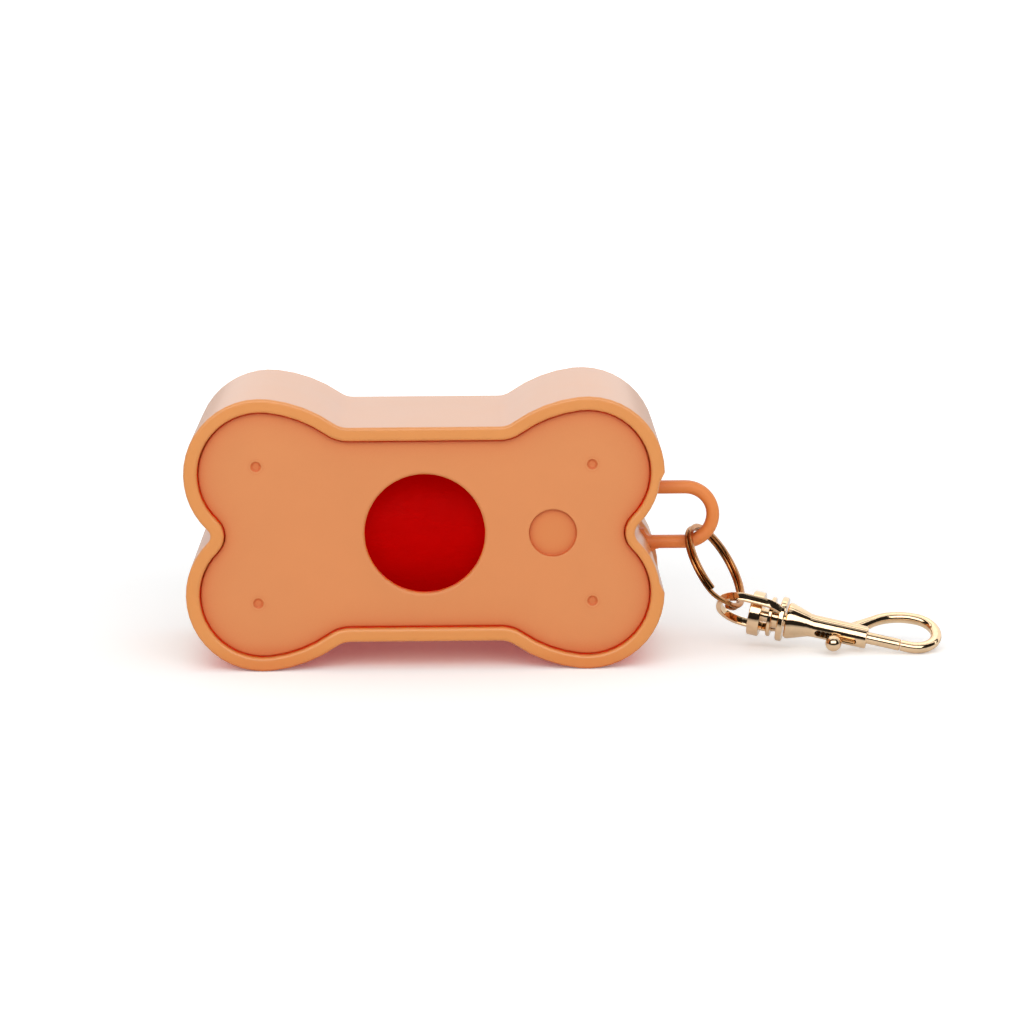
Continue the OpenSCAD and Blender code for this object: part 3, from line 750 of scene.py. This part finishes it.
class DISPENSER_OT_snap(bpy.types.Operator):
    """Finish the swivel bolt snap"""

    bl_idname = "dispenser.snap"
    bl_label = "Swivel snap"

    def execute(self, context):
        looks = context.scene.dispenser_metal
        plating = plated_metal(
            "snap_plating", looks.snap_colour, looks.snap_roughness,
            wave_depth=0.000014, tarnish=0.86)
        for name in ("clasp_eye", "swivel_pin", "clasp_body", "bolt", "thumb_knob"):
            dress(name, plating)
        wire = drawn_steel("spring_wire", looks.spring_colour)
        dress("bolt_spring", wire, SPRING_SHARP_DEG)
        shortening_spring()
        return {"FINISHED"}


def area_light(name, power, size, place):
    """A soft box that faces the case."""
    data = bpy.data.lights.new(name, "AREA")
    data.shape = "RECTANGLE"
    data.size, data.size_y = size
    data.energy = power
    lamp = bpy.data.objects.new(name, data)
    lamp.location = place
    lamp.rotation_euler = (-Vector(place)).to_track_quat("-Z", "Y").to_euler()
    bpy.context.scene.collection.objects.link(lamp)


# What metal sees in the world from the front, at 0, to the back, at 1: dark, a bright band, a
# narrow dark one, and pale beyond it.
FRONT_DARK = (0.02, 0.018, 0.016)
FRONT_END, BACK_START, BACK_LEVEL = 0.40, 0.66, 1.15
BANDS = ((0.47, 0.05), (0.485, 1.5), (0.53, 1.5), (0.55, 0.03), (0.61, 0.03), (0.63, 1.0))


def studio_world(strength):
    """An even pale sky that is white to the camera and banded to metal."""
    world = bpy.data.worlds.new("studio")
    bpy.context.scene.world = world
    world.use_nodes = True
    tree = Tree(world.node_tree)
    add, link = tree.add, tree.link
    output, path = add("ShaderNodeOutputWorld"), add("ShaderNodeLightPath")
    even, seen, shine = (add("ShaderNodeBackground") for _ in range(3))
    even.inputs["Strength"].default_value = strength
    seen.inputs["Strength"].default_value = 1.0
    place, split = add("ShaderNodeTexCoord"), add("ShaderNodeSeparateXYZ")
    link(place.outputs["Generated"], split.inputs[0])
    ramp = add("ShaderNodeValToRGB")
    link(tree.spread(split.outputs["Y"], 0.0, 1.0, -1.0, 1.0), ramp.inputs["Fac"])
    steps = ramp.color_ramp.elements
    steps[0].position, steps[0].color = FRONT_END, (*FRONT_DARK, 1.0)
    steps[1].position, steps[1].color = BACK_START, (BACK_LEVEL, BACK_LEVEL, BACK_LEVEL, 1.0)
    for position, level in BANDS:
        steps.new(position).color = (level, level, level, 1.0)
    link(ramp.outputs["Color"], shine.inputs["Color"])
    first, second = add("ShaderNodeMixShader"), add("ShaderNodeMixShader")
    mirrored = tree.combine(
        "MAXIMUM", path.outputs["Is Glossy Ray"], path.outputs["Is Transmission Ray"])
    link(mirrored, first.inputs[0])
    link(even.outputs[0], first.inputs[1])
    link(shine.outputs[0], first.inputs[2])
    link(path.outputs["Is Camera Ray"], second.inputs[0])
    link(first.outputs[0], second.inputs[1])
    link(seen.outputs[0], second.inputs[2])
    link(second.outputs[0], output.inputs["Surface"])


# The sweep: scale of the paper's grain and range of its grey, where it ends for metal, how
# far from the case's middle the painted warm glow in the shadow under it goes out, and how it
# is lifted to white far away.
PAPER_GRAIN, PAPER_GREY = 400.0, (0.86, 0.88)
PAPER_END = (-0.034, -0.046)
CASE_MIDDLE = (0.0, 0.019, 0.0)
GLOW_END_X, GLOW_END_Y = (0.038, 0.046), (0.014, 0.020)
FAR_START, FAR_END, FAR_LIFT = 0.08, 0.9, 0.90
# Colours under the case and beyond it, of the lit paper and of the glow added to it. Under
# the case they sum to white in light and paint a warm pink glow into the shadow.
LIT_COLOURS = (0.84, 1.0, 1.0), (0.98, 1.0, 1.0)
ADDED_GLOW_COLOURS = (0.28, 0.06, 0.065), (0.19, 0.18, 0.18)


def floor_material():
    """White sweep: seen directly it is lifted to white, more so far away where the lamps are
    weak, but keeps the shadows on it, with a painted warm pink glow in the shadow under the
    case. Metal sees it end in the dark in front of the object."""
    material = bpy.data.materials.new("sweep_paper")
    material.use_nodes = True
    tree = Tree(material.node_tree)
    add, link, spread = tree.add, tree.link, tree.spread
    output, path = add("ShaderNodeOutputMaterial"), add("ShaderNodeLightPath")
    plain, seen = add("ShaderNodeBsdfDiffuse"), add("ShaderNodeBsdfDiffuse")
    glow, away = add("ShaderNodeEmission"), add("ShaderNodeEmission")
    place = add("ShaderNodeTexCoord").outputs["Object"]
    split, far = add("ShaderNodeSeparateXYZ"), add("ShaderNodeVectorMath", operation="LENGTH")
    link(place, split.inputs[0])
    link(place, far.inputs[0])

    grain = add("ShaderNodeTexNoise")
    grain.inputs["Scale"].default_value = PAPER_GRAIN
    grey = add("ShaderNodeCombineColor")
    for socket in grey.inputs:
        link(spread(grain.outputs["Fac"], *PAPER_GREY, 0.0, 1.0), socket)
    dark = tree.combine(
        "MULTIPLY", path.outputs["Is Glossy Ray"],
        spread(split.outputs["Y"], 0.0, 1.0, *PAPER_END))
    link(tree.toward(dark, grey.outputs[0], FRONT_DARK), plain.inputs["Color"])

    # Painted warm pink glow in the shadow under the case, fading out past its footprint.
    centred = add("ShaderNodeVectorMath")
    centred.inputs[1].default_value = CASE_MIDDLE
    size = add("ShaderNodeVectorMath", operation="ABSOLUTE")
    sides = add("ShaderNodeSeparateXYZ")
    link(place, centred.inputs[0])
    link(centred.outputs[0], size.inputs[0])
    link(size.outputs[0], sides.inputs[0])
    outside = tree.combine(
        "MAXIMUM",
        spread(sides.outputs["X"], 0.0, 1.0, *GLOW_END_X),
        spread(sides.outputs["Y"], 0.0, 1.0, *GLOW_END_Y))
    link(tree.between(outside, *LIT_COLOURS), seen.inputs["Color"])
    link(tree.between(outside, *ADDED_GLOW_COLOURS), glow.inputs["Color"])
    link(spread(far.outputs["Value"], 0.0, FAR_LIFT, FAR_START, FAR_END), away.inputs["Strength"])

    lift, both = add("ShaderNodeAddShader"), add("ShaderNodeAddShader")
    mix = add("ShaderNodeMixShader")
    link(glow.outputs[0], lift.inputs[0])
    link(away.outputs[0], lift.inputs[1])
    link(seen.outputs[0], both.inputs[0])
    link(lift.outputs[0], both.inputs[1])
    link(path.outputs["Is Camera Ray"], mix.inputs[0])
    link(plain.outputs[0], mix.inputs[1])
    link(both.outputs[0], mix.inputs[2])
    link(mix.outputs[0], output.inputs["Surface"])
    return material


SENSOR_WIDTH = 36.0
CAMERA_PLACE = (0.0080, -0.6689, 0.12455)
CAMERA_TURN_DEG = (79.20, 0.338, -0.784)
CAMERA_NEAR, CAMERA_FAR = 0.01, 60.0
FLOOR_REACH, FLOOR_DROP = 12.0, 0.00002
TOP_BOX = {"size": (1.1, 0.8), "place": (0.05, 0.10, 0.85)}
KEY_BOX = {"size": (2.0, 0.9), "place": (-0.02, -1.15, 0.72)}


class DISPENSER_OT_stage(bpy.types.Operator):
    """Set up the camera, the white floor and the soft light"""

    bl_idname = "dispenser.stage"
    bl_label = "Stage"

    def execute(self, context):
        looks = context.scene.dispenser_stage
        data = bpy.data.cameras.new("camera")
        data.sensor_width = SENSOR_WIDTH
        data.lens = looks.lens
        data.clip_start, data.clip_end = CAMERA_NEAR, CAMERA_FAR
        camera = bpy.data.objects.new("camera", data)
        camera.location = CAMERA_PLACE
        camera.rotation_euler = tuple(math.radians(angle) for angle in CAMERA_TURN_DEG)
        context.scene.collection.objects.link(camera)
        context.scene.camera = camera

        mesh = bpy.data.meshes.new("floor")
        level, reach = cad_low.z - FLOOR_DROP, FLOOR_REACH
        corners = ((-reach, -reach), (reach, -reach), (reach, reach), (-reach, reach))
        mesh.from_pydata([(x, y, level) for x, y in corners], [], [(0, 1, 2, 3)])
        floor = bpy.data.objects.new("floor", mesh)
        mesh.materials.append(floor_material())
        context.scene.collection.objects.link(floor)

        studio_world(looks.sky)
        area_light("top_box", looks.top_light, **TOP_BOX)
        area_light("key_box", looks.key_light, **KEY_BOX)
        context.scene.view_settings.view_transform = "Standard"
        return {"FINISHED"}


class DISPENSER_PT_panel(bpy.types.Panel):
    """Lists the dispenser's pieces"""

    bl_idname = "DISPENSER_PT_panel"
    bl_label = "Waste Bag Dispenser"
    bl_space_type = "VIEW_3D"
    bl_region_type = "UI"
    bl_category = "Dispenser"

    def draw(self, context):
        scene = context.scene
        groups = (
            (scene.dispenser_case,
             ("case_colour", "case_roughness", "eye_colour", "cover_colour", "cover_roughness",
              "recess_colour", "inner_glow_colour", "grain"),
             ("dispenser.case", "dispenser.cover")),
            (scene.dispenser_bags,
             ("film_colour", "film_roughness", "crease", "film_step", "card_colour"),
             ("dispenser.bag_roll",)),
            (scene.dispenser_metal,
             ("ring_colour", "ring_roughness", "snap_colour", "snap_roughness",
              "spring_colour"),
             ("dispenser.ring", "dispenser.snap")),
            (scene.dispenser_stage,
             ("lens", "sky", "top_light", "key_light"),
             ("dispenser.stage",)),
        )
        for looks, names, operators in groups:
            box = self.layout.box()
            for name in names:
                box.prop(looks, name)
            for operator in operators:
                box.operator(operator)


GROUPS = {
    "dispenser_case": CaseLooks,
    "dispenser_bags": BagLooks,
    "dispenser_metal": MetalLooks,
    "dispenser_stage": StageLooks,
}
OPERATORS = (
    DISPENSER_OT_case,
    DISPENSER_OT_cover,
    DISPENSER_OT_bag_roll,
    DISPENSER_OT_ring,
    DISPENSER_OT_snap,
    DISPENSER_OT_stage,
)
CLASSES = (*GROUPS.values(), *OPERATORS, DISPENSER_PT_panel)


def register():
    for cls in CLASSES:
        bpy.utils.register_class(cls)
    for name, group in GROUPS.items():
        setattr(bpy.types.Scene, name, PointerProperty(type=group))


def unregister():
    for name in GROUPS:
        delattr(bpy.types.Scene, name)
    for cls in reversed(CLASSES):
        bpy.utils.unregister_class(cls)


def main():
    register()
    bpy.ops.dispenser.stage()
    bpy.ops.dispenser.case()
    bpy.ops.dispenser.cover()
    bpy.ops.dispenser.bag_roll()
    bpy.ops.dispenser.ring()
    bpy.ops.dispenser.snap()


if __name__ == "__main__":
    main()
